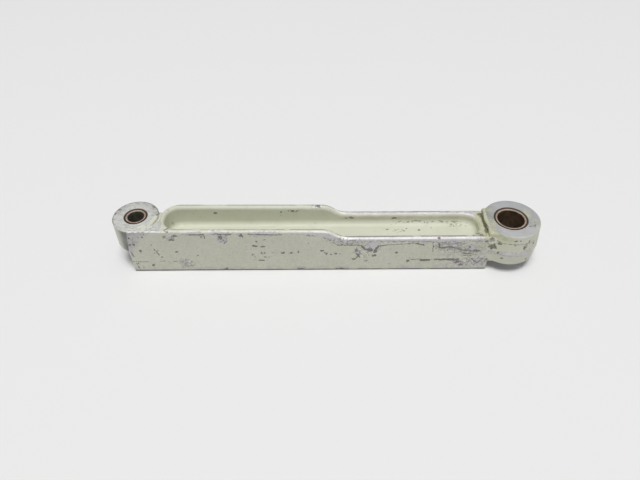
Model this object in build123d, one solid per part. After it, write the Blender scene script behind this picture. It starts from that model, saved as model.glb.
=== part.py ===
from build123d import *
from math import radians, tan
import os

# Nose gear drag link, all sizes in millimetres.
# The link lies on its side: X runs from the small end to the large end, Y runs from the
# flat front face to the back face, and Z points up along both pin bores.
# Heights are measured from the underside of the beam while the link is being built.
# The finished link is then moved so that the centre of the large bore is the origin.

# Distance between the two pins
pin_spacing = 222.25

# H-section beam
front_half_width = 13.7
back_half_width = 11.3
tall_height = 31.7
low_height = 26.1
rise_to_left_end = 0.7
flange_thickness = 3.5
web_thickness = 6.7
web_underside = 12.5
height_step_from_small_pin = 109.5
height_step_length = 15.0

# Ends of the beam
front_flange_overhang = 4.3
end_wall_past_small_lug = 0.9
end_wall_thickness = 2.6
end_wall_fillet = 4.0
back_corner_radius = 10.6
foot_end_from_large_pin = 13.0
foot_height = 7.4

# Forging draft, in degrees from the vertical
end_upper_draft = 6.0
end_lower_draft = 1.5
barrel_draft = 5.0
pocket_draft = 3.0

# Pockets above and below the web
land_before_pad = 3.4
pocket_corner_radius = 8.0
pocket_floor_fillet = 3.4

# Small end lug, from the parting plane up, with a flat land that runs onto the end of the beam.
# Its machined face stands above the left end of the beam.
small_lug_radius = 13.5
small_face_height = 0.1
small_neck_back = 3.4
land_past_end_wall = 0.5

# Large end barrel, widest at the parting plane, with its pad above the low part of the beam
# and its machined face above the pad
barrel_radius = 17.85
barrel_offset = 0.6
pad_height = 2.6
large_face_height = 0.4
large_neck_fillet = 9.0
pad_foot_inside_barrel = 2.05
pad_round = 1.3

# Pressed-in bushes and their seats
small_bore_diameter = 9.525
large_bore_diameter = 15.875
small_bush_wall = 1.2
large_bush_wall = 1.2
bush_recess = 0.2
bush_mouth_chamfer = 0.25
small_seat_chamfer = 1.1
large_seat_chamfer = 1.0

# Edge rounds: the beam's outer rims, the top pocket's mouth, the underside and the lugs
rim_round = 1.2
mouth_round = 2.0
foot_round = 0.8
lug_edge_round = 0.35

# Two edges or corners nearer than this are the same one
same_place = 0.01

# Places that follow from the sizes above
small_pin_x = -pin_spacing
front_y = -front_half_width
back_y = back_half_width
end_wall_x = small_pin_x + small_lug_radius + end_wall_past_small_lug
left_end_x = small_pin_x - front_flange_overhang
foot_end_x = -foot_end_from_large_pin
step_start_x = small_pin_x + height_step_from_small_pin
step_end_x = step_start_x + height_step_length
pad_foot_x = barrel_offset - barrel_radius + pad_foot_inside_barrel
pocket_left_x = end_wall_x + end_wall_thickness
pocket_right_x = pad_foot_x - land_before_pad
land_end_x = end_wall_x + land_past_end_wall
web_top = web_underside + web_thickness
parting_height = web_underside + web_thickness / 2
left_end_height = tall_height + rise_to_left_end
small_lug_bottom = parting_height
small_lug_top = left_end_height + small_face_height
large_lug_bottom = foot_height
pad_top = low_height + pad_height
large_lug_top = pad_top + large_face_height
large_bore_centre = (large_lug_top + large_lug_bottom) / 2
small_seat_radius = small_bore_diameter / 2 + small_bush_wall
large_seat_radius = large_bore_diameter / 2 + large_bush_wall


def prism(face, bottom, top):
    """Straight block over a plan outline, between two heights."""
    return extrude(Pos(0, 0, bottom) * face, amount=top - bottom, dir=(0, 0, 1))


def rectangle(x0, x1, y0, y1):
    """Plan rectangle between two corners."""
    return Pos((x0 + x1) / 2, (y0 + y1) / 2) * Rectangle(x1 - x0, y1 - y0)


def side_view(points):
    """Closed side-view outline from (x, height) corners."""
    with BuildSketch(Plane.XZ) as sketch:
        with BuildLine():
            Polyline(*points, close=True)
        make_face()
    return sketch.sketch


def across(face):
    """Side-view outline carried across the whole width of the link."""
    return extrude(face, amount=front_half_width + back_half_width, both=True)


def stepped_side():
    """Side view of the beam: flat foot, raised large end and an S-shaped step in the top."""
    with BuildSketch(Plane.XZ) as sketch:
        with BuildLine():
            Polyline((step_end_x, low_height), (0, low_height), (0, foot_height),
                     (foot_end_x, foot_height), (foot_end_x, 0), (left_end_x, 0),
                     (left_end_x, left_end_height))
            tall_rim = Line((left_end_x, left_end_height), (step_start_x, tall_height))
            Spline((step_start_x, tall_height), (step_end_x, low_height),
                   tangents=(tall_rim % 1, (1, 0)))
        make_face()
    return sketch.sketch


def drafted_end():
    """Side view of the front flange's free end, which leans back from the parting plane."""
    upper_lean = (small_lug_top - parting_height) * tan(radians(end_upper_draft))
    lower_lean = parting_height * tan(radians(end_lower_draft))
    return side_view([(left_end_x + lower_lean, 0), (left_end_x, parting_height),
                      (left_end_x + upper_lean, small_lug_top), (0, small_lug_top), (0, 0)])


def beam_outline():
    """Top view of the beam, with its large rounded corner beside the small lug."""
    outline = rectangle(end_wall_x, 0, front_y, back_y)
    corner = outline.vertices().filter_by_position(Axis.X, end_wall_x, end_wall_x)
    return fillet(corner.sort_by(Axis.Y)[-1], back_corner_radius)


def rim_edges(solid):
    """Edges along the top of the beam's two long sides, and round its back corner."""
    level = solid.edges().filter_by(lambda edge: edge.center().Z > low_height - same_place)
    sides = level.filter_by(lambda edge: min(abs((edge @ 0.5).Y - front_y),
                                             abs((edge @ 0.5).Y - back_y)) < same_place)
    corner = level.filter_by(lambda edge: edge.geom_type == GeomType.CIRCLE
                             and abs(edge.radius - back_corner_radius) < same_place)
    return sides + corner


def beam():
    """Beam before its pockets are sunk."""
    front_flange = rectangle(left_end_x, end_wall_x, front_y, front_y + flange_thickness)
    outline = beam_outline() + front_flange
    inner_corner = (end_wall_x, front_y + flange_thickness, 0)
    outline = fillet(outline.vertices().sort_by_distance(inner_corner)[0], end_wall_fillet)
    solid = prism(outline, 0, left_end_height) & across(stepped_side())
    return fillet(rim_edges(solid), rim_round)


def pocket(rim_height, floor_height):
    """Drafted pocket from a rim to the web, with a filleted floor, as the solid to cut away."""
    plan = rectangle(pocket_left_x, pocket_right_x, front_y + flange_thickness,
                     back_y - flange_thickness)
    plan = Pos(0, 0, rim_height) * fillet(plan.vertices(), pocket_corner_radius)
    depth = abs(rim_height - floor_height)
    inward = 1 if floor_height > rim_height else -1
    hollow = extrude(plan, amount=depth, dir=(0, 0, inward), taper=pocket_draft)
    floor = hollow.faces().sort_by(Axis.Z)[-1 if inward > 0 else 0]
    hollow = fillet(floor.edges(), pocket_floor_fillet)
    mouth = extrude(plan, amount=depth, dir=(0, 0, -inward))
    return hollow + mouth


def mouth_edges(solid):
    """Edges of the top pocket's mouth: from the low rim up and inside the long sides."""
    margin = flange_thickness / 2
    return solid.edges().filter_by(
        lambda edge: edge.center().Z > low_height - same_place
        and front_y + margin < (edge @ 0.5).Y < back_y - margin
        and pocket_left_x - margin < (edge @ 0.5).X < pocket_right_x + margin)


def top_space():
    """Space over the beam's rims and in its top pocket, with the mouth between them rounded."""
    over_beam = prism(rectangle(end_wall_x, pad_foot_x, -barrel_radius, barrel_radius),
                      low_height, 2 * left_end_height) - across(stepped_side())
    space = over_beam + pocket(left_end_height, web_top)
    return fillet(mouth_edges(space), mouth_round)


def foot_edges(solid):
    """Edges all round the flat underside, inside and outside."""
    return solid.edges().filter_by(lambda edge: abs(edge.center().Z) < same_place)


def pocketed_beam():
    """Beam with both pockets sunk and the edges of its flanges rounded."""
    solid = beam() - top_space() - pocket(0, web_underside)
    return fillet(foot_edges(solid), foot_round)


def small_lug():
    """Small end lug: a disc that stands off the front flange, with its land and back neck."""
    disc = Pos(small_pin_x, 0) * Circle(small_lug_radius)
    land = rectangle(small_pin_x, land_end_x, front_y, small_neck_back)
    lug = prism(disc + land, small_lug_bottom, small_lug_top)
    flange_top = prism(rectangle(left_end_x, small_pin_x, front_y, 0), small_lug_bottom, small_lug_top)
    return lug + (flange_top & across(drafted_end()))


def rounded_small_lug():
    """Small lug with its outer edges rounded."""
    lug = small_lug()
    outer = [edge for edge in lug.edges().filter_by(Plane.XY)
             if (edge @ 0.5).X < land_end_x - same_place]
    return fillet(outer, lug_edge_round)


def barrel_lean(height):
    """How far a drafted wall of the large end has drawn in at a height, from the parting plane."""
    return abs(height - parting_height) * tan(radians(barrel_draft))


def barrel():
    """Large end barrel, widest at the parting plane and drafted above and below it."""
    section = side_view([(0, large_lug_bottom),
                         (barrel_radius - barrel_lean(large_lug_bottom), large_lug_bottom),
                         (barrel_radius, parting_height),
                         (barrel_radius - barrel_lean(large_lug_top), large_lug_top),
                         (0, large_lug_top)])
    solid = revolve(section, Axis.Z)
    rims = solid.edges().filter_by(GeomType.CIRCLE).sort_by(Axis.Z)
    return Pos(barrel_offset, 0) * fillet([rims[0], rims[-1]], lug_edge_round)


def neck_outline():
    """Top view of the beam's large end, blended into the barrel with a fillet on each side."""
    disc = Pos(barrel_offset, 0) * Circle(barrel_radius)
    plan = rectangle(pocket_right_x - large_neck_fillet, 0, front_y, back_y) + disc
    corners = [vertex for vertex in plan.vertices() if pocket_right_x < vertex.X < 0]
    return fillet(corners, large_neck_fillet)


def neck():
    """Neck between beam and barrel, drafted like the barrel, with the pad raised over the beam."""
    plan = Pos(0, 0, parting_height) * neck_outline()
    upper = extrude(plan, amount=pad_top - parting_height, dir=(0, 0, 1), taper=barrel_draft)
    lower = extrude(plan, amount=parting_height - foot_height, dir=(0, 0, -1), taper=barrel_draft)
    shoulder = low_height - max(rim_round, mouth_round)
    step = side_view([(pocket_right_x, foot_height), (pocket_right_x, shoulder),
                      (pad_foot_x, shoulder), (pad_foot_x, pad_top),
                      (0, pad_top), (0, foot_height)])
    solid = (upper + lower) & across(step)
    crown = [edge for edge in solid.edges() if edge.center().Z > pad_top - same_place
             and (edge @ 0.5).X < -same_place]
    return fillet(crown, pad_round)


def seat(pin_x, seat_radius, chamfer_size, bottom, top):
    """Bore for a pressed bush, chamfered at both mouths, as the solid to cut away."""
    reach = chamfer_size
    bore = Cylinder(seat_radius, top - bottom + 2 * reach, align=(Align.CENTER, Align.CENTER, Align.MIN))
    cone = Cone(seat_radius + 2 * reach, seat_radius, 2 * reach,
                align=(Align.CENTER, Align.CENTER, Align.MIN))
    lower = Pos(0, 0, bottom - reach) * cone
    upper = Pos(0, 0, top + reach) * Rot(180, 0, 0) * cone
    return Pos(pin_x, 0, 0) * (Pos(0, 0, bottom - reach) * bore + lower + upper)


def link_body():
    """The whole forging: beam, small lug and large end, bored for its bushes."""
    solid = (pocketed_beam() & across(drafted_end())) + rounded_small_lug() + neck() + barrel()
    solid -= seat(small_pin_x, small_seat_radius, small_seat_chamfer, small_lug_bottom, small_lug_top)
    return solid - seat(0, large_seat_radius, large_seat_chamfer, large_lug_bottom, large_lug_top)


def bush(pin_x, bore_diameter, wall, bottom, top):
    """Plain sleeve, chamfered at both mouths, just inside the faces of its lug."""
    inner = bore_diameter / 2
    length = top - bottom - 2 * bush_recess
    sleeve = Cylinder(inner + wall, length) - Cylinder(inner, length)
    mouths = sleeve.edges().filter_by(GeomType.CIRCLE)
    mouths = mouths.filter_by(lambda edge: abs(edge.radius - inner) < wall / 2)
    return Pos(pin_x, 0, (top + bottom) / 2) * chamfer(mouths, bush_mouth_chamfer)


nodes = {
    "link_body": link_body(),
    "small_end_bush": bush(small_pin_x, small_bore_diameter, small_bush_wall,
                           small_lug_bottom, small_lug_top),
    "large_end_bush": bush(0, large_bore_diameter, large_bush_wall,
                           large_lug_bottom, large_lug_top),
}

os.makedirs("parts", exist_ok=True)
for name, shape in nodes.items():
    export_step(Pos(0, 0, -large_bore_centre) * shape, f"parts/{name}.step")
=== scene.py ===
import math

import bpy
from mathutils import Matrix, Vector

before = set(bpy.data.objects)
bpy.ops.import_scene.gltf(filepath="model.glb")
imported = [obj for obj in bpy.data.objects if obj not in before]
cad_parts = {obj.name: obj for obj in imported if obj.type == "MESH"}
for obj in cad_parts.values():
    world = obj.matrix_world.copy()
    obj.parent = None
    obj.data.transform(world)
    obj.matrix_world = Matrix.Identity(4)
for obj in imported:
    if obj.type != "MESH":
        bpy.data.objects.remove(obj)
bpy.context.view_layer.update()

MM = 0.001

# Places on the link, in millimetres from the centre of the large bore
SMALL_PIN_X = -222.25
SMALL_LUG_RADIUS = 13.5
SMALL_FACE = 14.25
SMALL_UNDER = -2.4
SMALL_SEAT = 5.96
LARGE_FACE = 10.85
LARGE_SEAT = 9.14
BARREL_X = 0.6
BARREL_TOP_RADIUS = 16.9
PAD_FOOT = -15.2
FRONT_Y = -13.7
BACK_Y = 11.3
UNDERSIDE = -18.25
WEB_TOP = 0.95
LOW_RIM = 7.85
HIGH_RIM = 13.45
HIGH_RIM_LEFT = 14.15
STEP_START = -112.75
STEP_END = -97.75
POCKET_CORNER = (-26.6, -0.2)
MOUTH_CORNER_RADIUS = 9.2

# Marks reach this far through the upright or level surface that they lie on, in millimetres
UPRIGHT_REACH = 2.5
LEVEL_REACH = 1.5

# Stretches over which a mask comes in along the link: nothing at the first x, all at the second
RIM_END = (-17.0, -20.0)
LAND_END = (-204.8, -206.6)
BAND_START = (-128.0, -120.0)
DASHES_START = (-202.0, -196.0)
LINES_START = (-206.0, -203.0)
LINES_END = (-17.5, -20.0)
RUBBED_START = (-206.0, -200.0)
MOUTH_CORNER_START = (-28.0, -26.0)
MOUTH_CORNER_END = (-19.0, -21.5)
POLISH_END = (-199.0, -204.0)
SHOULDER_START = (-12.0, -8.0)
THIN_END = (-212.0, -217.0)
HAZE_START = (-50.0, -36.0)
HAZE_END = (-13.0, -15.0)
SHADE_START = (-232.0, -227.4)
SHADE_END = (-214.0, -216.0)
YELLOW_START = (-26.0, -16.0)
YELLOW_END = (4.0, -10.0)
MOTTLE_END = (-12.0, -16.0)
INNER_WALL_START = (-104.0, -96.0)
LOW_EDGE_END = (-15.0, -18.0)
PAINT_EDGE = (-14.6, -13.6)

# The bare band under the front rim: its depth, and the middle, half width and extra depth of
# the two places where it hangs lower
BAND_DEPTH = 2.2
BAND_AT_STEP = (-106.0, 20.0, 2.6)
BAND_AT_RIGHT = (-38.0, 12.0, 2.0)


# Node building

# Where a Mix node has its two inputs and its output, for colours and for numbers
MIX_COLOURS = (6, 7, 2)
MIX_NUMBERS = (2, 3, 0)


class Nodes:
    """Small helper that makes and links the nodes of one material or world."""

    def __init__(self, owner, output="ShaderNodeOutputMaterial"):
        owner.use_nodes = True
        self.owner = owner
        self.tree = owner.node_tree
        self.tree.nodes.clear()
        self.output = self.add(output)

    def add(self, kind):
        return self.tree.nodes.new(kind)

    def put(self, socket, value):
        """Link a socket to another one, or set its value; a colour gets its alpha."""
        if isinstance(value, bpy.types.NodeSocket):
            self.tree.links.new(value, socket)
        elif socket.type == "RGBA":
            socket.default_value = (*value, 1.0)
        else:
            socket.default_value = value

    def math(self, operation, a, b=None, c=None):
        node = self.add("ShaderNodeMath")
        node.operation = operation
        for socket, value in zip(node.inputs, (a, b, c)):
            if value is not None:
                self.put(socket, value)
        return node.outputs[0]

    def product(self, *values):
        """All the values multiplied together."""
        result = values[0]
        for value in values[1:]:
            result = self.math("MULTIPLY", result, value)
        return result

    def most(self, *values):
        """The largest of the values."""
        result = values[0]
        for value in values[1:]:
            result = self.math("MAXIMUM", result, value)
        return result

    def vector(self, operation, a, b=None):
        node = self.add("ShaderNodeVectorMath")
        node.operation = operation
        self.put(node.inputs[0], a)
        if b is not None:
            self.put(node.inputs[1], b)
        return node.outputs["Value" if operation in ("LENGTH", "DISTANCE", "DOT_PRODUCT") else 0]

    def step(self, value, low, high, out_low=0.0, out_high=1.0):
        """Smooth ramp of value from low to high.

        The smooth ramp holds its ends by itself, and the node's own clamp would cost memory
        that the shader needs.
        """
        node = self.add("ShaderNodeMapRange")
        node.interpolation_type = "SMOOTHSTEP"
        node.clamp = False
        for socket, number in zip(node.inputs, (value, low, high, out_low, out_high)):
            self.put(socket, number)
        return node.outputs[0]

    def near(self, value, target, inner, outer):
        """1 where value is within inner of target, 0 beyond outer."""
        distance = self.math("ABSOLUTE", self.math("SUBTRACT", value, target))
        return self.step(distance, outer, inner)

    def swing(self, noise, amount):
        """Noise of 0 to 1 turned into a swing of up to half the amount either way."""
        return self.math("MULTIPLY", self.math("SUBTRACT", noise, 0.5), amount)

    def noise_texture(self, size, detail, roughness):
        """Noise whose blotches are size millimetres wide, still without a place."""
        node = self.add("ShaderNodeTexNoise")
        self.put(node.inputs["Scale"], 1.0 / size)
        self.put(node.inputs["Detail"], detail)
        self.put(node.inputs["Roughness"], roughness)
        return node

    def noise(self, place, size, detail=3.0, roughness=0.5, offset=(0, 0, 0)):
        """Noise of about 0 to 1 over a place, moved by an offset to differ from the others."""
        node = self.noise_texture(size, detail, roughness)
        moved = self.vector("ADD", place, offset) if any(offset) else place
        self.put(node.inputs["Vector"], moved)
        return node.outputs["Fac"]

    def warp(self, place, size, amount):
        """Place, pushed about by noise by up to half the amount in millimetres."""
        node = self.noise_texture(size, detail=4.0, roughness=0.62)
        self.put(node.inputs["Vector"], place)
        push = self.vector("SUBTRACT", node.outputs["Color"], (0.5, 0.5, 0.5))
        return self.vector("ADD", place, self.vector("MULTIPLY", push, (amount, amount, amount)))

    def between(self, kind, sockets, factor, a, b):
        """A Mix node of one kind, from a to b by the factor."""
        first, second, result = sockets
        node = self.add("ShaderNodeMix")
        node.data_type = kind
        self.put(node.inputs["Factor"], factor)
        self.put(node.inputs[first], a)
        self.put(node.inputs[second], b)
        return node.outputs[result]

    def mix(self, factor, a, b):
        """Colour a with colour b over it by the factor."""
        return self.between("RGBA", MIX_COLOURS, factor, a, b)

    def blend(self, factor, a, b):
        """Number between a and b by the factor."""
        return self.between("FLOAT", MIX_NUMBERS, factor, a, b)

    def bump(self, height, distance, strength):
        node = self.add("ShaderNodeBump")
        self.put(node.inputs["Strength"], strength)
        self.put(node.inputs["Distance"], distance)
        self.put(node.inputs["Height"], height)
        return node.outputs[0]

    def place(self):
        """Position in the frame of the link, in millimetres."""
        coordinates = self.add("ShaderNodeTexCoord")
        return self.vector("MULTIPLY", coordinates.outputs["Object"], (1 / MM, 1 / MM, 1 / MM))

    def parts(self, vector):
        """The x, y and z of a vector."""
        node = self.add("ShaderNodeSeparateXYZ")
        self.put(node.inputs[0], vector)
        return node.outputs

    def normal(self):
        """The x, y and z of the surface's normal."""
        return self.parts(self.add("ShaderNodeNewGeometry").outputs["Normal"])

    def from_axis(self, x, y, axis_x, axis_y=0.0):
        """Distance from a vertical axis."""
        node = self.add("ShaderNodeCombineXYZ")
        self.put(node.inputs[0], self.math("SUBTRACT", x, axis_x))
        self.put(node.inputs[1], self.math("SUBTRACT", y, axis_y))
        return self.vector("LENGTH", node.outputs[0])

    def fade(self, distance, size, strength):
        """Strength well inside the size, fading out to nothing a little beyond it."""
        return self.step(distance, 1.3 * size, 0.5 * size, 0.0, strength)

    def spot(self, place, centre, size, strength):
        """Strength inside an ellipsoid, fading to nothing just outside it."""
        offset = self.vector("SUBTRACT", place, centre)
        scaled = self.vector("MULTIPLY", offset, tuple(1.0 / length for length in size))
        return self.fade(self.vector("LENGTH", scaled), 1.0, strength)

    def streak(self, place, start, end, radius, strength):
        """Strength along a line between two points, fading to nothing just outside it."""
        run = Vector(end) - Vector(start)
        offset = self.vector("SUBTRACT", place, start)
        along = self.vector("DOT_PRODUCT", offset, tuple(run / run.length_squared))
        share = self.math("MINIMUM", self.math("MAXIMUM", along, 0.0), 1.0)
        scale = self.add("ShaderNodeVectorMath")
        scale.operation = "SCALE"
        self.put(scale.inputs[0], tuple(run))
        self.put(scale.inputs["Scale"], share)
        return self.fade(self.vector("DISTANCE", offset, scale.outputs[0]), radius, strength)

    def gather(self, mark, place, marks):
        """The strongest of many spots or streaks, taken up one by one to save memory."""
        result = mark(place, *marks[0])
        for one in marks[1:]:
            result = self.most(result, mark(place, *one))
        return result


def srgb(red, green, blue):
    """Linear colour of an 8-bit display colour."""
    return tuple(((value / 255 + 0.055) / 1.055) ** 2.4 if value > 10 else value / 255 / 12.92
                 for value in (red, green, blue))


# Marks on the forging. A place is its centre, half size in millimetres and strength.
# A line is both ends, radius and strength.

def front(x, z, half_x, half_z, strength):
    """A place on the flat front face."""
    return (x, FRONT_Y, z), (half_x, UPRIGHT_REACH, half_z), strength


def back(x, z, half_x, half_z, strength):
    """A place on the flat back face."""
    return (x, BACK_Y, z), (half_x, UPRIGHT_REACH, half_z), strength


def floor(x, y, half_x, half_y, strength):
    """A place on the floor of the top pocket."""
    return (x, y, WEB_TOP), (half_x, half_y, LEVEL_REACH), strength


def small_top(x, y, half_x, half_y, strength):
    """A place on the machined top of the small lug."""
    return (x, y, SMALL_FACE), (half_x, half_y, LEVEL_REACH), strength


def large_top(x, y, half_x, half_y, strength):
    """A place on the machined top of the large end."""
    return (x, y, LARGE_FACE), (half_x, half_y, LEVEL_REACH), strength


def front_line(x0, z0, x1, z1, radius, strength):
    """A scratch or crack on the flat front face, between two points."""
    return (x0, FRONT_Y, z0), (x1, FRONT_Y, z1), radius, strength


def small_top_line(x0, y0, x1, y1, radius, strength):
    """A stroke on the machined top of the small lug, between two points."""
    return (x0, y0, SMALL_FACE), (x1, y1, SMALL_FACE), radius, strength


def large_top_line(x0, y0, x1, y1, radius, strength):
    """A stroke on the machined top of the large end, between two points."""
    return (x0, y0, LARGE_FACE), (x1, y1, LARGE_FACE), radius, strength


# Places where the paint is chipped down to the metal
BARE_PLACES = [
    front(-200.6, 9.0, 2.8, 2.2, 0.7),
    front(-197.6, 11.2, 1.6, 1.4, 0.7),
    front(-195.8, -11.4, 3.4, 4.2, 0.62),
    front(-170.7, 8.4, 2.8, 3.6, 0.8),
    front(-187.0, 12.2, 7.0, 1.5, 0.82),
    front(-170.0, 12.0, 6.0, 1.5, 0.82),
    front(-146.0, 12.0, 10.5, 1.6, 0.85),
    front(-160.0, 11.4, 1.8, 2.0, 0.7),
    front(-86.6, 1.0, 2.2, 3.6, 0.8),
    front(-83.0, 2.0, 5.6, 4.2, 0.95),
    front(-91.6, -3.0, 2.4, 2.8, 0.85),
    front(-38.0, 2.4, 9.0, 3.4, 0.72),
    front(-24.0, -0.6, 7.0, 3.4, 0.66),
    front(-30.0, -13.0, 4.5, 2.6, 0.8),
    front(-19.0, -11.6, 7.0, 4.0, 0.7),
    front(-52.2, 4.2, 2.4, 1.2, 0.9),
    front(-125.7, -16.4, 5.0, 1.2, 0.7),
    front(-101.7, -16.4, 5.5, 1.2, 0.7),
    front(-57.8, -17.0, 12.0, 1.0, 0.8),
    front(-171.1, -16.6, 2.0, 1.0, 0.8),
    ((-2.0, -17.0, -2.2), (7.0, 4.0, 2.0), 0.95),
    ((7.4, -16.2, -2.0), (5.0, 4.0, 2.4), 0.95),
    ((-11.9, -15.0, -3.6), (3.0, 3.0, 2.0), 0.65),
    ((-115.8, 9.8, 13.2), (4.0, 2.2, 2.0), 0.75),
    ((-175.3, -12.9, 13.2), (1.6, 1.4, 1.8), 0.9),
    ((2.0, 17.4, 1.0), (9.0, 3.0, 2.6), 0.85),
    ((17.8, 2.0, -6.0), (3.0, 6.0, 2.6), 0.8),
    back(-184.0, 6.0, 6.0, 3.0, 0.75),
    back(-150.0, -8.0, 4.0, 4.0, 0.68),
    back(-118.0, 4.0, 9.0, 3.4, 0.8),
    back(-72.0, 2.6, 12.0, 2.8, 0.8),
    back(-46.0, -9.0, 5.0, 3.2, 0.72),
    back(-24.0, -13.0, 7.0, 2.6, 0.8),
    back(-140.0, -16.6, 9.0, 1.2, 0.85),
    back(-88.0, -16.8, 6.0, 1.1, 0.8),
]

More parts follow.
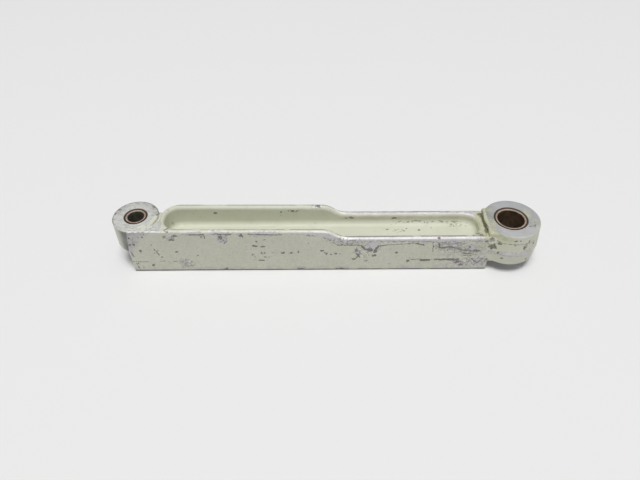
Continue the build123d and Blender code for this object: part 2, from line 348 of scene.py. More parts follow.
# Pits and patches of dirt
DARK_PLACES = [
    front(-200.1, 7.8, 2.2, 1.3, 0.85),
    front(-197.7, 11.0, 1.5, 1.1, 0.85),
    front(-204.0, 10.4, 0.9, 1.1, 0.8),
    front(-219.6, -1.3, 1.1, 1.7, 0.75),
    front(-212.1, 3.9, 0.9, 1.0, 0.65),
    front(-198.4, -1.9, 1.3, 1.0, 0.85),
    front(-214.4, -13.0, 1.0, 1.6, 0.85),
    front(-220.4, -15.2, 1.2, 1.2, 0.62),
    front(-223.2, -11.4, 0.8, 1.0, 0.7),
    front(-196.4, -10.8, 1.0, 1.0, 0.8),
    front(-208.0, -6.0, 0.7, 0.8, 0.7),
    front(-186.6, -5.0, 0.7, 0.8, 0.8),
    front(-176.0, -9.0, 0.6, 0.7, 0.8),
    front(-163.4, 1.2, 0.7, 0.6, 0.8),
    front(-120.6, 4.4, 0.8, 0.7, 0.8),
    front(-72.4, -13.2, 0.8, 0.6, 0.8),
    front(-225.0, 4.0, 0.8, 1.1, 1.0),
    front(-222.6, 4.0, 1.2, 0.9, 0.9),
    front(-224.2, 9.4, 0.8, 1.0, 0.8),
    front(-218.5, 9.6, 0.8, 0.9, 0.8),
    front(-216.4, 10.2, 0.8, 0.9, 0.9),
    front(-215.5, 12.2, 0.8, 0.8, 0.8),
    front(-171.4, 9.6, 1.4, 2.0, 0.85),
    front(-169.6, 5.6, 1.6, 1.6, 0.66),
    front(-182.4, 10.0, 1.0, 1.6, 0.8),
    front(-160.2, 10.6, 1.0, 1.3, 0.85),
    front(-153.5, -4.6, 1.3, 1.6, 0.75),
    front(-148.0, -3.2, 2.2, 1.2, 0.72),
    front(-141.6, -3.6, 2.0, 1.4, 0.74),
    front(-135.8, -3.0, 1.6, 1.3, 0.85),
    front(-131.2, -3.2, 1.6, 1.0, 0.74),
    front(-126.6, -2.4, 0.9, 1.8, 0.78),
    front(-152.0, 2.6, 2.0, 1.1, 0.8),
    front(-147.6, 2.0, 1.8, 1.0, 0.84),
    front(-150.6, 6.2, 1.6, 1.0, 0.62),
    front(-146.2, 7.6, 1.4, 0.7, 0.7),
    front(-144.6, -6.6, 3.4, 0.6, 0.62),
    front(-152.8, -6.4, 1.0, 0.9, 0.7),
    front(-150.2, -9.4, 4.5, 0.8, 0.62),
    front(-112.7, -1.7, 1.6, 1.1, 1.0),
    front(-110.4, -4.0, 1.2, 1.4, 0.9),
    front(-107.3, -4.9, 1.0, 0.8, 0.8),
    front(-104.5, -4.2, 1.1, 0.9, 0.85),
    front(-102.2, -4.6, 0.9, 0.7, 0.75),
    front(-84.4, -1.0, 2.2, 1.6, 0.95),
    front(-81.1, -2.3, 1.6, 1.6, 1.0),
    front(-81.5, -5.8, 1.6, 1.2, 1.1),
    front(-92.4, -1.6, 1.4, 1.6, 0.85),
    front(-93.5, -8.9, 1.6, 1.0, 0.85),
    front(-86.0, -10.2, 2.0, 1.0, 0.7),
    front(-68.4, -3.6, 1.0, 1.1, 1.1),
    front(-61.0, -10.6, 1.2, 1.5, 0.9),
    front(-60.1, -8.0, 0.7, 0.9, 0.8),
    front(-50.7, -10.1, 3.8, 1.0, 1.35),
    front(-34.0, -9.9, 4.6, 1.2, 1.2),
    front(-31.8, -11.6, 3.4, 1.6, 0.8),
    front(-29.0, -14.4, 2.6, 1.2, 0.75),
    front(-41.6, 0.3, 2.8, 0.9, 1.1),
    front(-37.0, 0.9, 1.8, 1.4, 0.95),
    front(-25.3, 0.5, 0.9, 0.9, 1.1),
    front(-20.6, -2.4, 2.6, 0.9, 1.1),
    front(-27.0, 6.0, 1.6, 0.9, 0.7),
    front(-13.6, -9.8, 1.0, 0.9, 1.0),
    front(-12.7, -3.4, 2.0, 1.2, 0.66),
    front(-125.7, -16.8, 4.5, 1.0, 0.75),
    front(-101.7, -16.8, 5.0, 1.0, 0.75),
    front(-171.1, -16.4, 1.6, 1.0, 0.85),
    ((-44.6, -13.1, 7.7), (1.1, 1.0, 0.8), 1.1),
    ((-12.1, -13.7, 1.1), (3.2, 2.6, 2.7), 0.98),
    ((-8.7, -14.6, 4.1), (1.6, 1.8, 0.9), 1.1),
    ((-8.5, -15.3, -2.7), (0.9, 1.6, 1.3), 1.0),
    ((-5.8, -16.3, -6.3), (0.9, 1.6, 0.9), 1.3),
    ((-13.6, -13.6, 7.2), (2.4, 1.6, 0.9), 0.95),
    ((-16.4, -13.6, 5.4), (1.4, 1.2, 0.9), 1.0),
    ((6.0, -16.4, 3.6), (1.5, 3.0, 3.4), 0.76),
    ((8.2, -15.3, 7.0), (1.0, 3.0, 1.8), 0.78),
    ((11.6, -13.4, 3.8), (1.0, 3.0, 2.0), 0.78),
    ((0.4, -16.9, 8.2), (2.6, 1.6, 0.9), 0.7),
    ((9.4, -14.9, -8.3), (1.2, 2.0, 0.9), 0.85),
    ((-16.6, 6.6, 7.9), (2.0, 2.6, 1.6), 1.0),
    ((-21.8, -9.4, 7.8), (2.6, 0.9, 1.0), 1.0),
    ((-19.4, -10.8, 7.8), (1.4, 0.8, 1.0), 1.1),
    ((-24.0, -11.4, 7.8), (1.0, 0.6, 1.0), 1.0),
    ((-115.8, 9.6, 13.4), (3.0, 1.8, 1.4), 0.8),
    ((-95.4, 7.4, 5.6), (5.0, 1.2, 0.9), 0.72),
    ((-68.5, 7.3, 5.2), (2.0, 1.2, 0.8), 0.9),
    ((-129.9, 7.6, 11.0), (6.0, 1.5, 0.8), 0.82),
    ((-137.3, 7.5, 10.4), (0.5, 1.5, 1.2), 1.1),
    ((-177.0, 7.5, 9.8), (1.4, 1.5, 0.9), 0.9),
    back(-184.0, 5.6, 4.0, 1.6, 0.8),
    back(-150.6, -8.6, 2.4, 2.6, 0.74),
    back(-118.0, 2.6, 6.0, 1.4, 0.8),
    back(-98.0, -6.0, 2.0, 1.4, 0.9),
    back(-72.0, 1.2, 9.0, 1.0, 0.8),
    back(-58.0, -5.0, 3.0, 0.8, 1.0),
    back(-45.0, -9.4, 3.4, 1.6, 0.8),
    back(-24.0, -13.6, 5.0, 1.2, 0.8),
    back(-168.0, -12.0, 1.8, 1.4, 0.9),
    back(-130.0, -14.0, 3.0, 0.9, 0.9),
    small_top(-233.3, 5.9, 1.6, 0.7, 1.2),
    small_top(-234.6, 2.1, 0.8, 1.0, 0.9),
    small_top(-235.0, -2.7, 0.7, 0.8, 1.0),
    small_top(-209.8, 1.0, 1.0, 1.0, 1.1),
    small_top(-212.6, 8.2, 2.6, 1.8, 0.7),
    floor(-72.8, 1.8, 1.2, 0.7, 0.8),
    floor(-53.5, 1.0, 0.9, 0.8, 1.1),
    floor(-61.0, 2.6, 0.7, 0.6, 0.9),
    floor(-46.0, 3.0, 0.7, 0.6, 0.9),
    ((-202.2, 4.6, 4.4), (2.6, 1.2, 2.6), 0.6),
]

# Places where the paint lifts in small flakes, with dark outlines painted as shadow along the
# paint's edge
FLAKY_PLACES = [
    front(-100.0, 6.6, 12.0, 3.6, 0.8),
    front(-88.0, -1.0, 7.0, 8.0, 0.75),
    front(-36.0, 0.8, 12.0, 5.6, 1.0),
    front(-22.0, -11.0, 9.0, 5.0, 1.0),
    front(-24.0, -3.0, 8.0, 5.0, 0.85),
    front(-193.0, -11.0, 5.0, 5.0, 0.6),
    front(-201.0, 8.6, 6.0, 4.0, 0.7),
    front(-170.4, 8.6, 4.0, 4.6, 0.8),
    back(-118.0, 2.0, 16.0, 6.0, 0.8),
    back(-34.0, -11.0, 14.0, 5.0, 0.8),
    floor(-66.0, 0.4, 4.4, 1.8, 1.1),
    floor(-31.0, 5.0, 10.0, 1.6, 0.8),
    ((-19.6, -11.0, 6.4), (5.0, 3.4, 3.0), 0.9),
    ((-12.4, -13.8, 4.4), (4.0, 3.0, 4.0), 0.8),
]

# Scratches and cracks
DARK_LINES = [
    front_line(-211.4, 0.4, -209.2, -4.6, 0.45, 0.72),
    front_line(-209.0, -0.4, -211.8, -3.0, 0.4, 0.66),
    front_line(-226.0, -10.0, -217.0, -10.2, 0.35, 0.6),
    front_line(-226.0, 0.4, -224.6, -6.4, 0.4, 0.6),
    front_line(-224.2, -11.4, -223.2, -17.4, 0.4, 0.66),
    front_line(-211.0, -9.8, -199.6, -10.0, 0.35, 0.6),
    front_line(-191.0, 12.0, -180.8, 11.8, 0.5, 0.68),
    front_line(-180.8, 12.4, -180.6, 8.8, 0.5, 0.85),
    front_line(-175.6, 12.3, -165.0, 11.9, 0.5, 0.72),
    front_line(-159.4, 12.6, -158.6, 9.6, 0.5, 0.8),
    front_line(-155.5, 12.0, -136.0, 11.4, 0.5, 0.7),
    front_line(-103.6, 2.8, -90.4, 2.9, 0.5, 0.85),
    front_line(-106.0, 5.0, -103.6, 2.8, 0.4, 0.7),
    front_line(-89.6, 2.2, -87.4, -0.6, 0.7, 1.0),
    front_line(-87.4, -0.6, -84.4, -1.0, 0.6, 1.0),
    front_line(-81.4, -1.6, -79.4, 2.0, 0.7, 0.95),
    front_line(-79.4, 2.0, -74.0, 3.0, 0.5, 0.9),
    front_line(-74.0, 3.0, -57.1, 4.0, 0.4, 0.7),
    front_line(-57.1, 4.0, -53.0, 2.4, 0.6, 0.95),
    front_line(-92.2, -4.0, -90.4, -7.4, 0.6, 0.85),
    front_line(-47.8, 5.4, -46.9, -3.0, 0.4, 0.6),
    front_line(-43.9, 3.8, -43.4, 0.6, 0.6, 0.95),
    front_line(-43.4, 0.4, -37.0, 0.8, 0.6, 1.0),
    front_line(-37.0, 0.8, -32.1, -0.6, 0.45, 0.9),
    front_line(-32.1, -0.6, -27.9, -2.0, 0.5, 0.9),
    front_line(-27.9, -2.0, -18.9, -2.9, 0.5, 0.9),
    front_line(-28.9, -4.4, -24.0, -4.6, 0.5, 0.85),
    front_line(-28.0, -6.0, -23.6, -6.2, 0.45, 0.75),
    front_line(-59.5, -9.4, -44.6, -9.5, 0.35, 0.85),
    front_line(-44.6, -9.6, -31.0, -9.6, 0.8, 1.3),
    front_line(-90.6, -4.6, -92.8, -9.0, 0.5, 0.8),
    front_line(-22.8, -9.0, -19.4, -12.6, 0.5, 0.9),
    front_line(-19.4, -12.6, -16.0, -9.6, 0.45, 0.9),
    large_top_line(8.9, -7.1, 12.0, -6.4, 0.45, 1.0),
    large_top_line(12.4, -7.6, 13.2, -3.6, 0.5, 0.6),
    ((-203.4, -12.2, 14.0), (-201.6, -10.2, 14.0), 0.5, 1.0),
    ((-203.2, -13.0, 14.0), (-201.2, -13.2, 14.0), 0.5, 0.9),
]

# Strokes of paint left on the machined top of the small lug
PAINT_LINES = [
    small_top_line(-212.2, -8.6, -209.6, -3.0, 1.7, 1.15),
    small_top_line(-210.6, -4.4, -207.2, 0.6, 2.5, 1.25),
    small_top_line(-208.4, -1.6, -204.0, -1.0, 3.2, 1.25),
    small_top_line(-218.6, -9.6, -216.0, -8.8, 1.2, 1.0),
    small_top_line(-216.0, -9.0, -215.4, -12.4, 1.3, 1.0),
    small_top_line(-224.0, -11.4, -219.0, -11.6, 0.8, 0.6),
]

# Thin paint films on the machined top of the large end
FILM_PLACES = [
    large_top(10.8, 4.4, 2.2, 4.6, 0.75),
    large_top(-12.4, -5.0, 2.6, 6.5, 0.65),
    large_top(-11.8, 9.4, 3.2, 4.0, 0.45),
    large_top(13.6, -5.0, 3.0, 5.0, 0.35),
]

# Colours of the paint, from the general coat to its local stains, a darker band on the pocket's
# back wall, and rubbed paint lit as a painted highlight
PAINT = srgb(205, 206, 187)
PAINT_PALE = srgb(211, 213, 195)
PAINT_DULL = srgb(190, 188, 170)
PAINT_DRAWN = srgb(180, 178, 162)
PAINT_SIDE = srgb(196, 195, 186)
PAINT_YELLOWED = srgb(202, 203, 174)
PAINT_NECK_TOP = srgb(172, 172, 140)
PAINT_MOTTLE = srgb(172, 168, 158)
# Rubbed paint lit as a painted highlight
PAINT_RUBBED_AND_HIGHLIT = srgb(230, 228, 226)
# Darker band on the pocket's back wall
PAINT_INNER_WALL = srgb(192, 187, 174)
PAINT_FLECK = srgb(228, 226, 218)
PAINT_SPECK = srgb(120, 114, 98)
PAINT_THIN = srgb(186, 182, 183)
PAINT_THIN_PIT = srgb(140, 136, 129)
PAINT_THIN_PALE = srgb(206, 204, 204)

# Colours of the bare metal, some of them lighter or darker copies painted as light and shade
METAL = srgb(212, 210, 211)
METAL_LILAC = srgb(188, 185, 188)
METAL_DARK = srgb(150, 146, 148)
METAL_DRAWN = srgb(160, 157, 156)
# Painted shade on bare metal facing the front
METAL_FRONT_SHADED = srgb(203, 200, 201)
# Painted light on the low rim's front edge
METAL_EDGE_PAINTED_LIGHT = srgb(236, 234, 231)
# Painted highlight at the step
METAL_SLOPE_HIGHLIGHT = srgb(240, 238, 234)
# Polished metal lit as a painted highlight
METAL_POLISHED_HIGHLIGHT = srgb(230, 230, 230)
SMALL_FACE_PALE = srgb(204, 205, 200)
SMALL_FACE_BLOTCH = srgb(156, 155, 148)
SMALL_FACE_SIDE = srgb(156, 155, 156)
TURNED_PALE = srgb(174, 175, 178)
TURNED_DARK = srgb(146, 147, 149)
TURNED_FINE = srgb(192, 192, 192)
TURNED_DULL = srgb(142, 142, 140)
# Painted shade towards the left of the turned face
TURNED_LEFT_SHADED = srgb(128, 128, 116)
# Painted highlight towards its front
TURNED_FRONT_HIGHLIGHT = srgb(200, 200, 197)
TURNED_BRUSHED = srgb(206, 206, 205)
TURNED_RIGHT = srgb(150, 151, 146)
TURNED_FILM = srgb(190, 192, 164)

# Colours of the dirt and dark marks, also used for painted shadow along paint edges and the foot,
# and for the painted shade beside the plate's end
DIRT_AND_SHADOW_DARK = srgb(88, 86, 78)
DIRT_AND_SHADOW_PALE = srgb(122, 119, 109)
# Darkest: the corner at the pad's foot and the painted contact shadow
CREVICE_AND_SHADOW_DARK = srgb(66, 63, 50)
# Painted shade, with some dirt, beside the plate's end
SHADE_AND_DIRT_GREY = srgb(96, 95, 99)
DIRT_SEAT = srgb(72, 65, 52)

# Colours of the bushes: their rims, the line round each, and their bores
LARGE_RIM = srgb(196, 176, 162)
LARGE_RIM_DULL = srgb(158, 140, 126)
SMALL_RIM = srgb(182, 176, 164)
SMALL_RIM_DULL = srgb(166, 140, 128)
RIM_SPECK = srgb(110, 96, 82)
RIM_LINE = srgb(70, 58, 46)
LARGE_BORE = srgb(112, 88, 66)
LARGE_BORE_DARK = srgb(78, 68, 56)
SMALL_BORE = srgb(114, 114, 100)
SMALL_BORE_DARK = srgb(90, 86, 76)


# Painted forging

class Forging(Nodes):
    """Material of the painted forging, made of masks over positions on the link.

    A mask is 0 to 1. Most are products of ramps over x, y, z or a distance in millimetres, and
    a ramp over a noise near its middle value of 0.5 breaks them up.
    """

    def __init__(self):
        super().__init__(bpy.data.materials.new("painted_forging"))
        self.at = self.place()
        self.x, self.y, self.z = self.parts(self.at)
        self.ny, self.nz = self.normal()[1:]
        self.from_front = self.math("SUBTRACT", self.y, FRONT_Y)
        self.from_back = self.math("SUBTRACT", BACK_Y, self.y)
        self.from_outside = self.math("MINIMUM", self.from_front, self.from_back)
        self.noises()
        self.rim()
        self.faces()
        bare = self.bare()
        marks = self.marks()
        self.surface(bare, marks)

    def noises(self):
        """Noises that break up the masks, each with its own offset."""
        at = self.at
        drawn_out = self.vector("MULTIPLY", at, (0.12, 1.0, 1.0))
        self.grain = self.noise(at, 0.55, 3, 0.6)
        self.fine = self.noise(at, 1.3, 5, 0.65, (11.0, 5.0, 2.0))
        self.chips = self.noise(at, 2.0, 6, 0.62, (31.0, 7.0, 3.0))
        self.pits = self.noise(at, 1.5, 5, 0.62, (71.0, 37.0, 13.0))
        self.flakes = self.noise(at, 2.6, 4, 0.6, (15.0, 27.0, 43.0))
        self.medium = self.noise(at, 7.0, 4, 0.55, (3.0, 57.0, 19.0))
        self.broad = self.noise(at, 30.0, 3, 0.5, (3.0, 17.0, 9.0))
        self.drawn = self.noise(drawn_out, 0.7, 3, 0.6, (9.0, 3.0, 1.0))
        self.dashes = self.noise(drawn_out, 1.1, 2, 0.5, (4.0, 53.0, 21.0))

    def rim(self):
        """How far each point lies below the rim, whose height steps down along the beam."""
        self.high = self.step(self.x, STEP_END, STEP_START)
        self.low = self.math("SUBTRACT", 1.0, self.high)
        to_left = self.math("SUBTRACT", STEP_START, self.x)
        rise = (HIGH_RIM_LEFT - HIGH_RIM) / (STEP_START - SMALL_PIN_X)
        high_height = self.math("MULTIPLY_ADD", to_left, rise, HIGH_RIM)
        self.below = self.math("SUBTRACT", self.blend(self.high, LOW_RIM, high_height), self.z)

    def on_front(self, reach=0.6):
        """Mask of the front face, fading out at the reach in millimetres behind it."""
        return self.step(self.from_front, reach, reach / 3)

    def from_seat(self, distance, seat):
        """Mask of a bush and of the chamfer of its seat."""
        return self.step(distance, seat + 1.2, seat + 0.9)

    def faces(self):
        """Machined faces of the two ends, and the dirty chamfers round their bushes."""
        self.from_large = self.from_axis(self.x, self.y, 0.0)
        self.from_small = self.from_axis(self.x, self.y, SMALL_PIN_X)
        level = self.step(self.math("ABSOLUTE", self.nz), 0.75, 0.97)
        past_paint = self.step(self.math("ADD", self.x, self.swing(self.fine, 2.4)), *PAINT_EDGE)
        large_levels = self.near(self.math("ABSOLUTE", self.z), LARGE_FACE, 0.2, 0.36)
        self.large_face = self.product(large_levels, level, past_paint)
        small_levels = self.most(self.near(self.z, SMALL_FACE, 0.22, 0.32),
                                 self.near(self.z, SMALL_UNDER, 0.2, 0.36))
        self.small_face = self.product(small_levels, level, self.step(self.x, *LAND_END))
        self.lug_edge = self.product(self.near(self.from_small, SMALL_LUG_RADIUS - 0.1, 0.4, 0.9),
                                     self.step(self.z, 13.2, 13.7), self.step(self.y, -10.0, -6.0),
                                     self.step(self.pits, 0.34, 0.46))
        self.seat_dirt = self.most(self.from_seat(self.from_large, LARGE_SEAT),
                                   self.from_seat(self.from_small, SMALL_SEAT))

    def hump(self, centre, half_width, height):
        """A smooth rise along the beam."""
        distance = self.math("ABSOLUTE", self.math("SUBTRACT", self.x, centre))
        return self.step(distance, half_width, 0.0, 0.0, height)

    def bare_rims(self):
        """Bare metal along the rims: all over the low ones, in dashes on the high ones."""
        ragged = self.math("ADD", self.swing(self.medium, 2.4), self.swing(self.chips, 4.0))
        crest = self.product(self.step(self.from_outside, 3.0, 2.5),
                             self.step(self.below, 1.1, 0.7))
        sides = self.step(self.x, *RIM_END)
        corner = self.from_axis(self.x, self.y, *POCKET_CORNER)
        corner = self.product(self.near(corner, MOUTH_CORNER_RADIUS, 0.7, 1.3),
                              self.step(self.below, 1.6, 1.1), self.step(self.y, 1.0, 4.0),
                              self.step(self.x, *MOUTH_CORNER_START),
                              self.step(self.x, *MOUTH_CORNER_END))
        band_depth = self.math("ADD", self.hump(*BAND_AT_STEP), self.hump(*BAND_AT_RIGHT))
        band_depth = self.math("ADD", self.math("ADD", band_depth, BAND_DEPTH), ragged)
        over_edge = self.math("SUBTRACT", self.below, band_depth)
        beside = self.product(self.on_front(0.9), self.step(self.x, *BAND_START))
        front_band = self.product(self.step(over_edge, 0.5, -0.5), beside,
                                  self.step(self.x, *RIM_END))
        # Dark line painted as shadow along the lower edge of the paint over the bare band
        self.band_line = self.product(self.near(over_edge, 0.3, 0.15, 0.5), beside,
                                      self.step(self.pits, 0.44, 0.54))
        back_depth = self.math("SUBTRACT", self.below, self.math("ADD", 1.5, ragged))
        back_band = self.product(self.step(back_depth, 0.5, -0.4),
                                 self.step(self.from_back, 0.9, 0.3), sides)
        low = self.product(self.low, self.most(self.product(crest, sides), corner, back_band))
        dash = self.step(self.dashes, 0.5, 0.56)
        edge = self.product(self.on_front(0.9), self.step(self.below, 3.0, 2.0),
                            self.step(self.x, *DASHES_START))
        high = self.product(self.high, dash, edge, self.step(self.chips, 0.36, 0.48))
        over_rim = self.step(self.below, 0.2, 0.6, 0.35, 1.0)
        return self.most(low, self.product(front_band, over_rim), high)

    def bright_edges(self):
        """Polished corners of the front face at the small end, painted lighter as a highlight."""
        along = self.math("MULTIPLY_ADD", self.math("SUBTRACT", self.chips, 0.5), 2.0, self.x)
        end = self.product(self.step(along, -225.8, -226.2), self.step(self.y, -13.0, -13.5),
                           self.step(self.z, -9.0, 0.0))
        top = self.product(self.step(self.z, 13.1, 13.7), self.step(self.y, -13.0, -13.4),
                           self.step(self.x, *POLISH_END), self.step(self.chips, 0.42, 0.5))
        return self.most(end, top)

    def bare(self):
        """Bare metal."""
        warped = self.warp(self.at, 2.2, 3.4)
        worn = self.gather(self.spot, warped, BARE_PLACES)
        self.worn = self.math("ADD", worn, self.swing(self.chips, 2.2))
        chipped = self.step(self.worn, 0.5, 0.6)
        upright = self.step(self.math("ABSOLUTE", self.nz), 0.5, 0.2)
        stray = self.product(self.step(self.pits, 0.7, 0.73), upright)
        foot = self.product(self.step(self.z, UNDERSIDE + 1.6, UNDERSIDE + 0.4),
                            self.step(self.chips, 0.52, 0.6))
        barrel = self.from_axis(self.x, self.y, BARREL_X)
        shoulder = self.product(self.step(barrel, BARREL_TOP_RADIUS - 0.3, BARREL_TOP_RADIUS),
                                self.near(self.z, LARGE_FACE - 0.2, 0.4, 0.9),
                                self.step(self.chips, 0.4, 0.55),
                                self.step(self.x, *SHOULDER_START))
        kept = self.gather(self.streak, warped, PAINT_LINES)
        kept = self.step(self.math("ADD", kept, self.swing(self.chips, 1.6)), 0.45, 0.55)
        small_face = self.product(self.small_face, self.math("SUBTRACT", 1.0, kept))
        self.polish_and_highlight = self.bright_edges()
        rims = self.bare_rims()
        return self.most(chipped, stray, foot, shoulder, self.large_face, small_face,
                         self.polish_and_highlight, rims)

    def thin_paint(self):
        """Where the paint is worn thin and the metal shows through it."""
        down = self.math("SUBTRACT", SMALL_FACE, self.z)
        lean = self.math("MULTIPLY_ADD", down, 0.62, self.x)
        lean = self.math("ADD", lean, self.swing(self.medium, 9.0))
        end = self.product(self.step(lean, *THIN_END), self.on_front())
        foot = self.product(self.step(self.z, UNDERSIDE + 5.0, UNDERSIDE + 1.0),
                            self.step(self.medium, 0.45, 0.6),
                            self.step(self.from_outside, 0.6, 0.2))
        haze = self.product(self.step(self.x, *HAZE_START), self.step(self.x, *HAZE_END),
                            self.near(self.from_front, 0.0, 0.2, 0.6),
                            self.step(self.flakes, 0.48, 0.56))
        return self.most(self.product(end, 0.85), self.product(foot, 0.5), self.product(haze, 0.55))

    def crevice(self):
        """Dark line and knot in the corner at the foot of the raised pad."""
        along = self.math("ADD", self.x, self.swing(self.flakes, 2.0))
        line = self.product(self.near(along, PAD_FOOT - 0.7, 0.35, 0.95),
                            self.near(self.z, 8.6, 1.6, 2.4), self.near(self.y, -0.6, 8.4, 9.6))
        knot = self.spot(self.at, (PAD_FOOT - 0.6, -7.4, 8.2), (1.3, 2.2, 1.6), 1.0)
        knot = self.step(self.math("ADD", knot, self.swing(self.pits, 1.2)), 0.45, 0.6)
        return self.most(line, knot)

    def lines(self):
        """Dark lines: inside the front rim, painted shade on its rounded inner edge broken up with
        chips; along the back edge; and low on the pocket's wall.
        """
        broken = self.step(self.dashes, 0.4, 0.48)
        # Painted shade on the front rim's rounded inner edge, broken up with chips
        front_inside = self.product(self.near(self.y, -11.5, 0.25, 0.5),
                                    self.step(self.below, 0.9, 0.5), broken)
        back_edge = self.product(self.step(self.from_back, 1.7, 1.1),
                                 self.step(self.below, 1.4, 0.8), broken)
        wander = self.math("ADD", self.swing(self.medium, 3.0), self.swing(self.chips, 2.0))
        wall_foot = self.near(self.math("ADD", self.z, wander), 2.6, 0.15, 0.6)
        wall_foot = self.product(wall_foot, self.near(self.y, 6.2, 1.2, 2.0),
                                 self.near(self.x, -44.0, 20.0, 28.0),
                                 self.step(self.pits, 0.47, 0.55))
        on_beam = self.product(self.step(self.x, *LINES_START), self.step(self.x, *LINES_END))
        lines = self.most(self.product(front_inside, 0.8), self.product(back_edge, 0.7),
                          self.product(wall_foot, 0.75))
        return self.product(lines, on_beam)

    def marks(self):
        """Dark pits, scratches, cracks and dirt, painted shadow along paint edges and the foot, and
        the painted shade beside the plate's end.
        """
        ragged = self.swing(self.pits, 2.4)
        dark = self.gather(self.spot, self.warp(self.at, 1.4, 1.6), DARK_PLACES)
        dark = self.step(self.math("ADD", dark, ragged), 0.6, 0.74)
        cracks = self.gather(self.streak, self.warp(self.at, 1.6, 2.2), DARK_LINES)
        cracks = self.step(self.math("ADD", cracks, self.swing(self.pits, 1.2)), 0.45, 0.62)
        flaky = self.gather(self.spot, self.at, FLAKY_PLACES)
        self.flaky = self.step(self.math("ADD", flaky, self.swing(self.medium, 0.9)), 0.45, 0.65)
        # Dark outlines painted as shadow along the edges of flakes and chips
        flake_outlines = self.product(self.flaky, self.near(self.flakes, 0.5, 0.012, 0.034),
                                      self.step(self.fine, 0.36, 0.48))
        chip_outlines = self.product(self.near(self.worn, 0.45, 0.03, 0.1),
                                     self.step(self.fine, 0.4, 0.52))
        # Painted shade, with some dirt, on the small lug's side in the corner beside the plate's
        # end
        self.painted_shade_and_dirt = self.product(self.step(self.x, *SHADE_START), self.step(self.x, *SHADE_END),
                                  self.step(self.from_front, 0.2, 0.5),
                                  self.step(self.y, -6.0, -10.0), self.step(self.z, 13.9, 13.2),
                                  self.step(self.medium, 0.2, 0.6, 0.75, 1.0))
        # Painted contact shadow: a dark line along the foot of the sides, just above the underside
        foot = self.product(self.step(self.z, UNDERSIDE + 1.5, UNDERSIDE + 0.8),
                            self.step(self.nz, -0.9, -0.7),
                            self.step(self.dashes, 0.3, 0.5, 0.55, 1.0))
        crevice = self.crevice()
        self.crevice_and_contact_shadow = self.most(crevice, foot)
        return self.most(self.product(dark, 0.85), self.product(cracks, 0.85),
                         self.product(flake_outlines, 0.78), self.product(chip_outlines, 0.6),
                         self.product(self.band_line, 0.75), self.lines(),
                         self.product(self.lug_edge, 0.6), self.product(crevice, 0.7),
                         self.product(foot, 0.85))

    def paint_colour(self):
        paint = self.mix(self.step(self.broad, 0.3, 0.7), PAINT, PAINT_PALE)
        paint = self.mix(self.step(self.medium, 0.5, 0.8, 0.0, 0.35), paint, PAINT_DULL)
        paint = self.mix(self.step(self.drawn, 0.55, 0.8, 0.0, 0.3), paint, PAINT_DRAWN)
        side = self.step(self.from_outside, 0.6, 0.2)
        clouds = self.step(self.flakes, 0.3, 0.7, 0.1, 0.4)
        paint = self.mix(self.product(side, clouds), paint, PAINT_SIDE)
        yellowed = self.product(self.step(self.x, *YELLOW_START), self.step(self.x, *YELLOW_END),
                                self.step(self.z, -2.0, 4.0))
        paint = self.mix(self.product(yellowed, 0.7), paint, PAINT_YELLOWED)
        neck_top = self.product(yellowed, self.step(self.z, 6.8, 7.4),
                                self.step(self.flakes, 0.3, 0.6, 0.2, 0.7))
        paint = self.mix(neck_top, paint, PAINT_NECK_TOP)
        mottle = self.product(side, self.step(self.fine, 0.46, 0.66, 0.0, 0.3),
                              self.step(self.x, *MOTTLE_END))
        paint = self.mix(mottle, paint, PAINT_MOTTLE)
        # Rubbed paint on the crest of the high front rim, made lighter as a painted highlight
        rubbed_and_highlit = self.product(self.high, self.near(self.from_front, 1.3, 0.8, 1.6),
                              self.step(self.below, 1.0, 0.4), self.step(self.x, *RUBBED_START),
                              self.step(self.flakes, 0.35, 0.6, 0.0, 0.45))
        paint = self.mix(rubbed_and_highlit, paint, PAINT_RUBBED_AND_HIGHLIT)
        # Darker band along the middle of the pocket's back wall, where it faces the front
        inner_wall = self.product(self.step(self.ny, -0.3, -0.7), self.near(self.z, 5.6, 0.6, 2.6),
                                  self.step(self.x, *INNER_WALL_START), self.step(self.y, 4.0, 6.0),
                                  self.step(self.medium, 0.3, 0.6, 0.15, 0.75))
        paint = self.mix(inner_wall, paint, PAINT_INNER_WALL)
        flecks = self.product(self.flaky, side, self.step(self.flakes, 0.54, 0.57),
                              self.step(self.flakes, 0.66, 0.61))
        return self.mix(self.product(flecks, 0.75), paint, PAINT_FLECK)

    def turned_colour(self):
        """Colour of the turned face of the large end, with painted shade towards its left and a
        painted highlight towards its front.
        """
        wave = self.math("ADD", self.from_large, self.product(self.medium, 0.9))
        rings = self.step(self.math("SINE", self.math("MULTIPLY", wave, 5.5)), -0.4, 1.0, 0.0, 0.3)
        face = self.mix(rings, TURNED_PALE, TURNED_DARK)
        face = self.mix(self.step(self.fine, 0.45, 0.7, 0.0, 0.3), face, TURNED_FINE)
        face = self.mix(self.step(self.medium, 0.45, 0.75, 0.0, 0.45), face, TURNED_DULL)
        # Painted shade towards the left of the face
        face = self.mix(self.step(self.x, -6.0, -13.0, 0.0, 0.6), face, TURNED_LEFT_SHADED)
        # Painted highlight towards the front of the face
        face = self.mix(self.step(self.y, 0.0, -12.0, 0.0, 0.3), face, TURNED_FRONT_HIGHLIGHT)
        along = self.vector("MULTIPLY", self.at, (0.25, 1.6, 1.0))
        brushed = self.noise(along, 1.2, 3, 0.6, (61.0, 3.0, 8.0))
        face = self.mix(self.step(brushed, 0.5, 0.68, 0.0, 0.35), face, TURNED_BRUSHED)
        right = self.product(self.step(self.x, 2.0, 12.0), self.step(self.y, -9.0, -2.0), 0.3)
        face = self.mix(right, face, TURNED_RIGHT)
        film = self.product(self.gather(self.spot, self.at, FILM_PLACES),
                            self.step(self.flakes, 0.35, 0.6, 0.4, 1.0))
        return self.mix(film, face, TURNED_FILM)

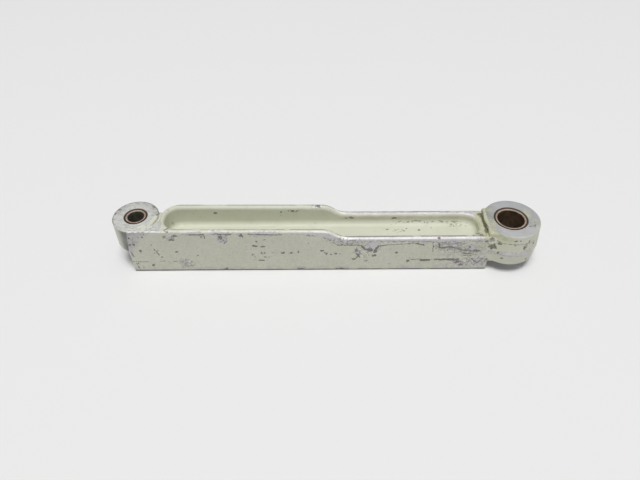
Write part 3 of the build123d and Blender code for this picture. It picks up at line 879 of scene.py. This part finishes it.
    def metal_colour(self):
        metal = self.mix(self.step(self.medium, 0.35, 0.7), METAL, METAL_LILAC)
        metal = self.mix(self.step(self.fine, 0.46, 0.66, 0.0, 0.5), metal, METAL_DARK)
        metal = self.mix(self.step(self.drawn, 0.5, 0.66, 0.0, 0.4), metal, METAL_DRAWN)
        blotch = self.most(self.step(self.grain, 0.5, 0.62, 0.0, 0.55),
                           self.step(self.chips, 0.52, 0.6, 0.0, 0.5))
        metal = self.mix(self.product(self.small_face, 0.6), metal, SMALL_FACE_PALE)
        metal = self.mix(self.product(self.small_face, blotch), metal, SMALL_FACE_BLOTCH)
        worn_side = self.product(self.small_face, self.step(self.from_small, 8.5, 11.5),
                                 self.step(self.y, 0.0, 4.0),
                                 self.step(self.flakes, 0.35, 0.55, 0.1, 0.5))
        metal = self.mix(worn_side, metal, SMALL_FACE_SIDE)
        metal = self.mix(self.large_face, metal, self.turned_colour())
        # Painted shade: bare metal facing the front made darker
        shaded_front = self.product(self.step(self.ny, -0.7, -0.97), 0.6)
        metal = self.mix(shaded_front, metal, METAL_FRONT_SHADED)
        # Painted light: the rounded front edge of the low rim made lighter
        painted_light_low_edge = self.product(self.step(self.nz, 0.2, 0.5),
                                self.near(self.from_front, 0.0, 0.9, 1.6),
                                self.low, self.step(self.x, *LOW_EDGE_END))
        metal = self.mix(self.product(painted_light_low_edge, 0.5), metal, METAL_EDGE_PAINTED_LIGHT)
        # Painted highlight: upward-facing metal at the step made lighter
        painted_highlight_slope = self.product(self.step(self.nz, 0.2, 0.7), self.near(self.x, -107.0, 6.0, 14.0))
        metal = self.mix(self.product(painted_highlight_slope, 0.8), metal, METAL_SLOPE_HIGHLIGHT)
        # Polished edges, lighter as a painted highlight
        return self.mix(self.polish_and_highlight, metal, METAL_POLISHED_HIGHLIGHT)

    def surface(self, bare, marks):
        """Paint, metal and dirt laid over one another as one shader, with painted light and shade
        among them.
        """
        thin = self.thin_paint()
        paint = self.mix(thin, self.paint_colour(), PAINT_THIN)
        specks = self.product(self.step(self.grain, 0.68, 0.74), self.step(self.medium, 0.4, 0.6))
        paint = self.mix(self.product(specks, 0.5), paint, PAINT_SPECK)
        thin_pits = self.product(thin, self.step(self.pits, 0.5, 0.6), 0.6)
        paint = self.mix(thin_pits, paint, PAINT_THIN_PIT)
        thin_chips = self.product(thin, self.step(self.chips, 0.54, 0.62), 0.6)
        paint = self.mix(thin_chips, paint, PAINT_THIN_PALE)
        colour = self.mix(bare, paint, self.metal_colour())
        # Colour of the dirt and of the painted shadows among the marks
        dirt_and_shadow = self.mix(self.step(self.fine, 0.4, 0.6), DIRT_AND_SHADOW_DARK, DIRT_AND_SHADOW_PALE)
        # Darkest colour for the corner at the pad's foot and the painted contact shadow
        dirt_and_shadow = self.mix(self.crevice_and_contact_shadow, dirt_and_shadow, CREVICE_AND_SHADOW_DARK)
        # Painted shade, with some dirt, beside the plate's end
        colour = self.mix(self.product(self.painted_shade_and_dirt, 0.85), colour, SHADE_AND_DIRT_GREY)
        colour = self.mix(marks, colour, dirt_and_shadow)
        colour = self.mix(self.seat_dirt, colour, DIRT_SEAT)
        shader = self.add("ShaderNodeBsdfPrincipled")
        self.put(shader.inputs["Base Color"], colour)
        unmarked = self.math("SUBTRACT", 1.0, self.most(marks, self.seat_dirt))
        self.put(shader.inputs["Metallic"], self.product(bare, unmarked, 0.6))
        painted = self.step(self.medium, 0.2, 0.8, 0.42, 0.58)
        worn = self.step(self.fine, 0.2, 0.8, 0.6, 0.74)
        rough = self.blend(unmarked, 0.75, self.blend(bare, painted, worn))
        self.put(shader.inputs["Roughness"], rough)
        skin = self.math("ADD", self.product(self.fine, 0.3), self.product(self.medium, 0.7))
        self.put(shader.inputs["Normal"], self.bump(skin, 0.35 * MM, 0.3))
        self.put(self.output.inputs["Surface"], shader.outputs[0])


def bush_bronze():
    """Bronze of both bushes: worn bright rims, and bores dark with old grease."""
    n = Nodes(bpy.data.materials.new("bush_bronze"))
    place = n.place()
    x, y, z = n.parts(place)
    nz = n.normal()[2]
    fine = n.noise(place, 0.6, 4, 0.6)
    medium = n.noise(place, 3.0, 3, 0.5)
    rim = n.step(n.math("ABSOLUTE", nz), 0.3, 0.55)
    small_end = n.step(x, -100.0, -110.0)
    bright = n.mix(n.step(medium, 0.3, 0.7), LARGE_RIM, LARGE_RIM_DULL)
    small_bright = n.mix(n.step(medium, 0.35, 0.65), SMALL_RIM, SMALL_RIM_DULL)
    bright = n.mix(small_end, bright, small_bright)
    bright = n.mix(n.step(fine, 0.45, 0.7, 0.0, 0.5), bright, RIM_SPECK)
    from_small = n.math("ADD", n.from_axis(x, y, SMALL_PIN_X), LARGE_SEAT - SMALL_SEAT)
    radius = n.math("MINIMUM", n.from_axis(x, y, 0.0), from_small)
    middle = n.near(radius, LARGE_SEAT - 0.62, 0.36, 0.62)
    bright = n.mix(middle, RIM_LINE, bright)
    inside = n.mix(n.step(medium, 0.3, 0.7), LARGE_BORE, LARGE_BORE_DARK)
    small_inside = n.mix(n.step(medium, 0.3, 0.7), SMALL_BORE, SMALL_BORE_DARK)
    inside = n.mix(small_end, inside, small_inside)
    shader = n.add("ShaderNodeBsdfPrincipled")
    n.put(shader.inputs["Base Color"], n.mix(rim, inside, bright))
    n.put(shader.inputs["Metallic"], n.blend(rim, 0.3, 0.85))
    n.put(shader.inputs["Roughness"], n.step(fine, 0.2, 0.8, 0.38, 0.55))
    n.put(shader.inputs["Normal"], n.bump(fine, 0.05 * MM, 0.3))
    n.put(n.output.inputs["Surface"], shader.outputs[0])
    return n.owner


def dress(node, material):
    """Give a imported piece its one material."""
    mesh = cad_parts[node].data
    mesh.materials.clear()
    mesh.materials.append(material)


dress("link_body", Forging().owner)
bronze = bush_bronze()
dress("small_end_bush", bronze)
dress("large_end_bush", bronze)


# Studio: a pale floor under the middle of the link, a soft sky and one large softbox

MIDDLE_X = -0.11
FLOOR_SIZE = 6.0
FLOOR_COLOUR = srgb(236, 236, 236)
BACKDROP_START = 0.9
BACKDROP_FULL = 2.2
SKY_LOW = 0.2
SKY_HIGH = 0.35
SKY_SEEN = 0.8
SOFTBOX_SIZE = 1.5
SOFTBOX_ENERGY = 119.0
SOFTBOX_PLACE = (MIDDLE_X, -0.8, 4.0)
SOFTBOX_TILT = math.radians(11.3)


def studio_floor():
    """Pale matt floor; far off, the camera sees it as bright as the backdrop."""
    n = Nodes(bpy.data.materials.new("studio_floor"))
    shader = n.add("ShaderNodeBsdfPrincipled")
    n.put(shader.inputs["Base Color"], FLOOR_COLOUR)
    n.put(shader.inputs["Roughness"], 0.85)
    n.put(shader.inputs["Specular IOR Level"], 0.1)
    backdrop = n.add("ShaderNodeEmission")
    n.put(backdrop.inputs["Strength"], SKY_SEEN)
    away = n.vector("LENGTH", n.add("ShaderNodeTexCoord").outputs["Object"])
    far = n.step(away, BACKDROP_START, BACKDROP_FULL)
    seen = n.add("ShaderNodeLightPath").outputs["Is Camera Ray"]
    both = n.add("ShaderNodeMixShader")
    n.put(both.inputs[0], n.product(far, seen))
    n.put(both.inputs[1], shader.outputs[0])
    n.put(both.inputs[2], backdrop.outputs[0])
    n.put(n.output.inputs["Surface"], both.outputs[0])
    return n.owner


def soft_sky():
    """White sky, brighter overhead; the camera and mirror rays see it as the backdrop."""
    n = Nodes(bpy.data.worlds.new("soft_sky"), "ShaderNodeOutputWorld")
    height = n.parts(n.add("ShaderNodeTexCoord").outputs["Generated"])[2]
    light = n.math("MULTIPLY_ADD", n.math("MAXIMUM", height, 0.0), SKY_HIGH - SKY_LOW, SKY_LOW)
    ray = n.add("ShaderNodeLightPath").outputs
    seen = n.most(ray["Is Camera Ray"], ray["Is Glossy Ray"], ray["Is Transmission Ray"])
    background = n.add("ShaderNodeBackground")
    n.put(background.inputs["Color"], (1.0, 1.0, 1.0))
    n.put(background.inputs["Strength"], n.blend(seen, light, SKY_SEEN))
    n.put(n.output.inputs["Surface"], background.outputs[0])
    return n.owner


bpy.ops.mesh.primitive_plane_add(size=FLOOR_SIZE, location=(MIDDLE_X, 0.0, UNDERSIDE * MM))
floor_plane = bpy.context.object
floor_plane.name = "studio_floor"
floor_plane.data.materials.append(studio_floor())

bpy.context.scene.world = soft_sky()

softbox_data = bpy.data.lights.new("softbox", "AREA")
softbox_data.shape = "SQUARE"
softbox_data.size = SOFTBOX_SIZE
softbox_data.energy = SOFTBOX_ENERGY
softbox = bpy.data.objects.new("softbox", softbox_data)
softbox.location = SOFTBOX_PLACE
softbox.rotation_euler = (SOFTBOX_TILT, 0.0, 0.0)
bpy.context.collection.objects.link(softbox)

bpy.context.scene.view_settings.view_transform = "Standard"


# Camera at the photograph's viewing angle

IMAGE_WIDTH = 640
FOCAL_PIXELS = 576.52
SENSOR = 36.0
CAMERA_PLACE = Vector((-116.47, -255.12, 239.45)) * MM
PITCH = math.radians(43.893)
YAW = math.radians(-0.609)
ROLL = math.radians(0.1)
CLIP_START = 0.01
CLIP_END = 20.0

camera_data = bpy.data.cameras.new("photo_camera")
camera_data.sensor_width = SENSOR
camera_data.lens = FOCAL_PIXELS * SENSOR / IMAGE_WIDTH
camera_data.clip_start = CLIP_START
camera_data.clip_end = CLIP_END
camera = bpy.data.objects.new("photo_camera", camera_data)
bpy.context.collection.objects.link(camera)
turn = (Matrix.Rotation(YAW, 4, "Z") @ Matrix.Rotation(math.pi / 2 - PITCH, 4, "X")
        @ Matrix.Rotation(ROLL, 4, "Z"))
camera.matrix_world = Matrix.Translation(CAMERA_PLACE) @ turn
bpy.context.scene.camera = camera
